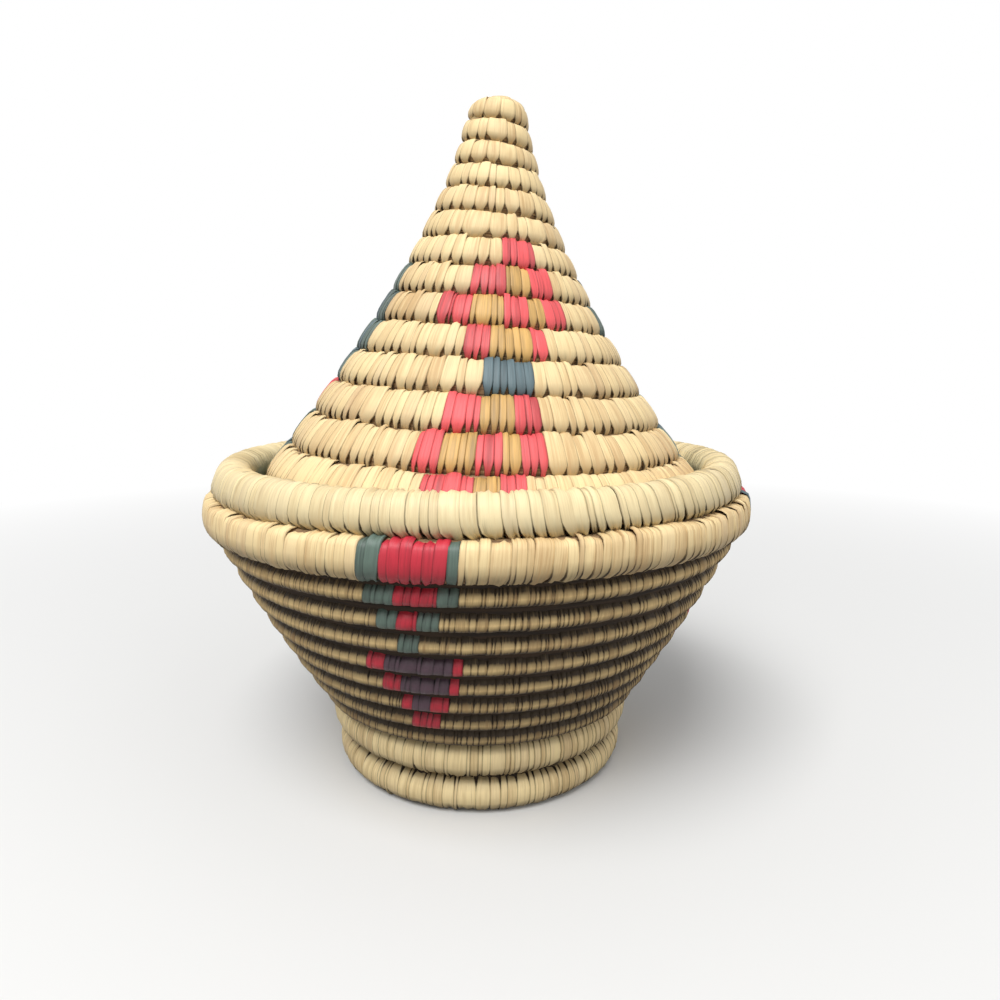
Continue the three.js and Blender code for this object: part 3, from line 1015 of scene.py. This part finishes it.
def view(scene, lens):
    camera = bpy.data.cameras.new("camera")
    camera.lens = lens
    camera.sensor_width = 36
    camera.clip_start = 0.01
    eye = bpy.data.objects.new("camera", camera)
    eye.location = CAMERA_PLACE
    eye.rotation_euler = (CAMERA_TILT, 0, 0)
    bpy.context.collection.objects.link(eye)
    scene.camera = eye
    scene.view_settings.view_transform = "Standard"


# Settings


def colour_prop(name, description, default):
    return FloatVectorProperty(
        name=name, description=description, default=default, size=3, min=0, max=1, subtype="COLOR"
    )


def number_prop(name, description, default, low=0, unit="NONE"):
    return FloatProperty(name=name, description=description, default=default, min=low, unit=unit)


def width_prop(name, description, default):
    return number_prop(name, description, default, 0.0005, "LENGTH")


class BasketLeaf(PropertyGroup):
    """Colours of the leaf and of the grass inside"""

    pale: colour_prop("Pale leaf", "Lid and shoulder, where lightest", (0.97, 0.76, 0.41))
    pale_dark: colour_prop("Pale leaf, dark", "The same, where darkest", (0.66, 0.44, 0.21))
    # The wall's leaf is darker than the pale leaf as painted shade, for the wall lies in the
    # shoulder's shadow.
    wall: colour_prop("Wall leaf", "Wall, where lightest", (0.86, 0.63, 0.3))
    wall_dark: colour_prop("Wall leaf, dark", "Wall, where darkest", (0.43, 0.27, 0.115))
    rim: colour_prop("Rim leaf", "Rim, where lightest", (0.94, 0.78, 0.45))
    rim_dark: colour_prop("Rim leaf, dark", "Rim, where darkest", (0.64, 0.49, 0.26))
    foot: colour_prop("Foot leaf", "Foot, where lightest", (0.96, 0.77, 0.42))
    foot_dark: colour_prop("Foot leaf, dark", "Foot, where darkest", (0.62, 0.44, 0.21))
    inner: colour_prop("Inner leaf", "Base and ledge, where lightest", (0.66, 0.5, 0.27))
    inner_dark: colour_prop("Inner leaf, dark", "The same, where darkest", (0.4, 0.27, 0.13))
    pink: colour_prop("Pink", "Dyed leaf", (0.98, 0.125, 0.135))
    ochre: colour_prop("Ochre", "Dyed leaf", (0.78, 0.47, 0.15))
    blue: colour_prop("Blue", "Dyed leaf", (0.12, 0.18, 0.2))
    red: colour_prop("Red", "Dyed leaf", (0.62, 0.03, 0.055))
    green: colour_prop("Green", "Dyed leaf", (0.13, 0.19, 0.155))
    violet: colour_prop("Violet", "Dyed leaf", (0.09, 0.045, 0.065))
    grass: colour_prop("Grass", "Stems inside the lid and the mouth", (0.5, 0.33, 0.17))
    grass_dark: colour_prop("Grass, dark", "Between those stems", (0.19, 0.11, 0.055))
    # Grass painted near black as painted shade, for the joints of the foot, base and wall, which
    # lie in shadow.
    dusty: colour_prop("Dusty grass", "Stems in foot, base and wall", (0.05, 0.029, 0.015))
    shade_painted_dark: colour_prop("Dusty grass, dark", "Between those stems", (0.014, 0.008, 0.004))


class BasketStitches(PropertyGroup):
    """Widths of the leaf strips"""

    lid: width_prop("Lid", "Width of a strip on the lid", 0.0041)
    dyed: width_prop("Figures", "Width of a dyed strip", 0.003)
    rim: width_prop("Rim", "Width of a strip on the rim", 0.0037)
    shoulder: width_prop("Shoulder", "Width of a strip on the shoulder", 0.0034)
    wall: width_prop("Wall", "Width of a strip on the wall", 0.0023)
    foot: width_prop("Foot", "Width of a strip on the foot", 0.0029)
    inner: width_prop("Inside", "Width of a strip on the base and the ledge", 0.0036)


class BasketStage(PropertyGroup):
    """Floor, light and view"""

    floor: colour_prop("Floor", "Colour of the floor", (0.85, 0.85, 0.84))
    bounce: colour_prop("Bounce", "Colour of the light off the floor", (0.3, 0.29, 0.27))
    key: number_prop("Key light", "Power of the main light", 23, unit="POWER")
    fill: number_prop("Fill light", "Power of the other light", 3, unit="POWER")
    sky: number_prop("Sky", "Strength of the light all round", 0.4)
    lens: number_prop("Lens", "Focal length", 26.02, 1, "CAMERA")


# Pieces


def wrapped(name, coil, wrap, natural, body, seed, letter_at=plain_letter, dusty=False):
    """A coil's leaf and grass, riding on a body in place of the plain coil."""
    leaf = bpy.context.scene.basket_leaf
    finishes = dye_finishes(leaf, natural)
    grass = made_once("grass_stems", grass_finish, leaf.grass, leaf.grass_dark)
    # Coils in shadow get their grass painted near black, as painted shade.
    if dusty:
        grass = made_once("dusty_stems", grass_finish, leaf.dusty, leaf.shade_painted_dark)
    strips_piece = leaf_piece(name.replace("coil", "leaf"), coil, wrap, finishes, letter_at, seed)
    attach(strips_piece, body)
    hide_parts(name)
    stems_piece = grass_piece(name.replace("coil", "grass"), coil, wrap, grass)
    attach(stems_piece, body)


def pale_leaf():
    # The lid's and shoulder's leaf gets painted shade at the feet of its strips.
    return natural_leaf("pale", roughness=0.6, stain=0.42, seam=0.3)


def inner_leaf():
    # The base's and ledge's leaf gets painted shade at the feet of its strips.
    return natural_leaf("inner", roughness=0.75)


class BASKET_OT_foot(Operator):
    """Wrap the two thick rounds of the foot"""

    bl_idname = "basket.foot"
    bl_label = "Foot"

    def execute(self, context):
        stitch = context.scene.basket_stitches
        # The foot gets painted shade at the feet and tops of its strips, and its grass is painted
        # dark as shade.
        natural = natural_leaf("foot", roughness=0.62, stain=0.6, seam=0.45)
        wrap = Wrap(width=stitch.foot, spread=0.5, pinch=0.85, pinch_from=2.0, pinch_to=2.6,
                    top=0.7, tip=0.0007, overlap=0.00008, crown=0.00012, top_shade=0.8,
                    slant=0.14, slope=0.3, pleats=4, pleat=0.0002, squeeze=0.0007,
                    shade=(1.6, 2.4))
        coil = Coil(piled(foot_rows(), -0.5, 2), full=0.85, shape=standing)
        wrapped("foot_coil", coil, wrap, natural, "bowl", seed=11, dusty=True)
        return {"FINISHED"}


class BASKET_OT_base(Operator):
    """Wrap the flat coil of the base and lay strips over its eye"""

    bl_idname = "basket.base"
    bl_label = "Base"

    def execute(self, context):
        run = base_run()
        natural = inner_leaf()
        wrap = Wrap(width=context.scene.basket_stitches.inner, spread=0.3)
        coil = Coil(run)
        wrapped("base_coil", coil, wrap, natural, "bowl", seed=23, dusty=True)
        centre = (0, 0, run[0][1].height)
        reach = BASE_KNOT_RADIUS
        eye = eye_piece("base_start_leaf", centre, reach, WALL_COIL, natural, seed=29)
        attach(eye, "bowl")
        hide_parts("base_start_knot")
        return {"FINISHED"}


class BASKET_OT_wall(Operator):
    """Wrap the wall of the bowl, with its stitched figure"""

    bl_idname = "basket.wall"
    bl_label = "Wall"

    def execute(self, context):
        stitch = context.scene.basket_stitches
        # The wall gets the most painted shade: at the foot and top of each round, over its lowest
        # rounds, and in its grass.
        natural = natural_leaf("wall", roughness=0.7, stain=1.0, seam=0.4)
        wrap = Wrap(width=stitch.wall, dyed=stitch.dyed * WALL_DYED, spread=0.45,
                    pinch=0.92, pinch_from=2.2, top=0.92, tip=0.0003, slope=0.45,
                    slant=0.16, overlap=0.00008, crown=0.0001, top_shade=1.0, dust=0.4,
                    pleats=2, squeeze=0.0013, shade=(1.15, 2.0))
        coil = Coil(piled(ROWS, -0.5, WALL_END))
        wrapped("wall_coil", coil, wrap, natural, "bowl", seed=31,
                letter_at=bowl_letter, dusty=True)
        return {"FINISHED"}


class BASKET_OT_shoulder(Operator):
    """Wrap the shoulder, the bowl's widest round"""

    bl_idname = "basket.shoulder"
    bl_label = "Shoulder"

    def execute(self, context):
        stitch = context.scene.basket_stitches
        wrap = Wrap(width=stitch.shoulder, dyed=stitch.dyed, spread=0.4, pinch=0.88,
                    pinch_from=2.0, top=0.97, top_at=0.1, tip=0.001, slope=0.5, slant=0.12,
                    pleats=5, pleat=0.00016, tone=0.74, overlap=0.0001, crown=0.00012,
                    brow=0.0008, fill=0.0006, shade=(1.35, 2.1))
        coil = Coil(piled(ROWS, WALL_END, WALL_END + 1), full=0.8)
        wrapped("shoulder_coil", coil, wrap, pale_leaf(), "bowl", seed=41,
                letter_at=bowl_letter)
        return {"FINISHED"}


class BASKET_OT_rim(Operator):
    """Wrap the thick rolled rim with broad strips, drawn together underneath"""

    bl_idname = "basket.rim"
    bl_label = "Rim"

    def execute(self, context):
        stitch = context.scene.basket_stitches
        # The rim gets painted shade at the feet of its strips.
        natural = natural_leaf("rim", roughness=0.5, stain=0.35, seam=0.4)
        wrap = Wrap(width=stitch.rim, spread=0.4, pinch=0.7, pinch_from=2.15, pinch_to=2.75,
                    top=1.0, tip=0, slope=-1.0, bend=6, slant=0.1, overlap=0.0001,
                    crown=0.0001, pleats=8, pleat=0.00028, leg=0.0012, heel=0.0013,
                    vary=0.6, fill=0, shade=(1.4, 2.6))
        coil = Coil(piled(ROWS, WALL_END + 1, len(ROWS)), full=0.85)
        wrapped("rim_coil", coil, wrap, natural, "bowl", seed=53)
        return {"FINISHED"}


class BASKET_OT_ledge(Operator):
    """Wrap the ledge inside the mouth"""

    bl_idname = "basket.ledge"
    bl_label = "Ledge"

    def execute(self, context):
        stitch = context.scene.basket_stitches
        wrap = Wrap(width=stitch.inner, spread=0.3, tip=0, top=1.0, leg=0, fill=0)
        coil = Coil(ledge_run())
        wrapped("lid_ledge_coil", coil, wrap, inner_leaf(), "bowl", seed=61)
        return {"FINISHED"}


class BASKET_OT_lid(Operator):
    """Wrap the lid's coil, with its stitched figure"""

    bl_idname = "basket.lid"
    bl_label = "Lid"

    def execute(self, context):
        stitch = context.scene.basket_stitches
        wrap = Wrap(width=stitch.lid, dyed=LID_STITCH, spread=0.34, pinch=0.56,
                    pinch_from=1.9, pinch_to=2.65, top=0.88, top_at=0.2, tip=0.001,
                    slope=-0.15, slant=0.13, pleats=4, pleat=0.0002, overlap=0.00007,
                    crown=0.00011, brow=0.0004, heel=0.0004, fill=0.001, fill_from=1.3,
                    shade=(1.5, 2.6))
        coil = Coil(lid_run(), way=1, full=0.78, shape=leaning)
        wrapped("lid_coil", coil, wrap, pale_leaf(), "lid", seed=71,
                letter_at=lid_letter)
        return {"FINISHED"}


class BASKET_OT_peak(Operator):
    """Lay strips over the lid's peak, where its coil starts"""

    bl_idname = "basket.peak"
    bl_label = "Peak"

    def execute(self, context):
        # The strips end on the outer side of the coil's first round.
        spot = lid_spot(LID_START + 0.5)
        centre = (0, 0, spot.height)
        reach = spot.radius + PEAK_REACH * spot.thick
        rise = LID_TOP - spot.height
        natural = pale_leaf()
        eye = eye_piece("lid_peak_leaf", centre, reach, rise, natural, seed=83, shape=leaning)
        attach(eye, "lid")
        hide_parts("lid_peak_knot")
        return {"FINISHED"}


class BASKET_OT_stage(Operator):
    """Set up the floor, the lights and the camera"""

    bl_idname = "basket.stage"
    bl_label = "Stage"

    def execute(self, context):
        stage = context.scene.basket_stage
        lay_floor(stage.floor, stage.bounce)
        soft_light("key_light", KEY_PLACE, KEY_SIZE, stage.key)
        soft_light("fill_light", FILL_PLACE, FILL_SIZE, stage.fill)
        sky(context.scene, stage.sky)
        view(context.scene, stage.lens)
        return {"FINISHED"}


PIECES = (
    BASKET_OT_foot, BASKET_OT_base, BASKET_OT_wall, BASKET_OT_shoulder, BASKET_OT_rim,
    BASKET_OT_ledge, BASKET_OT_lid, BASKET_OT_peak, BASKET_OT_stage,
)


class BASKET_PT_panel(Panel):
    """The pieces, in the order that they are made"""

    bl_label = "Coiled grass basket"
    bl_space_type = "VIEW_3D"
    bl_region_type = "UI"
    bl_category = "Basket"

    def draw(self, context):
        scene = context.scene
        for settings in (scene.basket_leaf, scene.basket_stitches, scene.basket_stage):
            box = self.layout.box()
            for key in settings.bl_rna.properties.keys():
                if key not in {"rna_type", "name"}:
                    box.prop(settings, key)
        for piece in PIECES:
            self.layout.operator(piece.bl_idname)


CLASSES = (BasketLeaf, BasketStitches, BasketStage, *PIECES, BASKET_PT_panel)


def register():
    for cls in CLASSES:
        bpy.utils.register_class(cls)
    bpy.types.Scene.basket_leaf = PointerProperty(type=BasketLeaf)
    bpy.types.Scene.basket_stitches = PointerProperty(type=BasketStitches)
    bpy.types.Scene.basket_stage = PointerProperty(type=BasketStage)


def unregister():
    del bpy.types.Scene.basket_stage
    del bpy.types.Scene.basket_stitches
    del bpy.types.Scene.basket_leaf
    for cls in reversed(CLASSES):
        bpy.utils.unregister_class(cls)


def main():
    register()
    for piece in PIECES:
        getattr(bpy.ops.basket, piece.bl_idname.split(".")[1])()


if __name__ == "__main__":
    main()
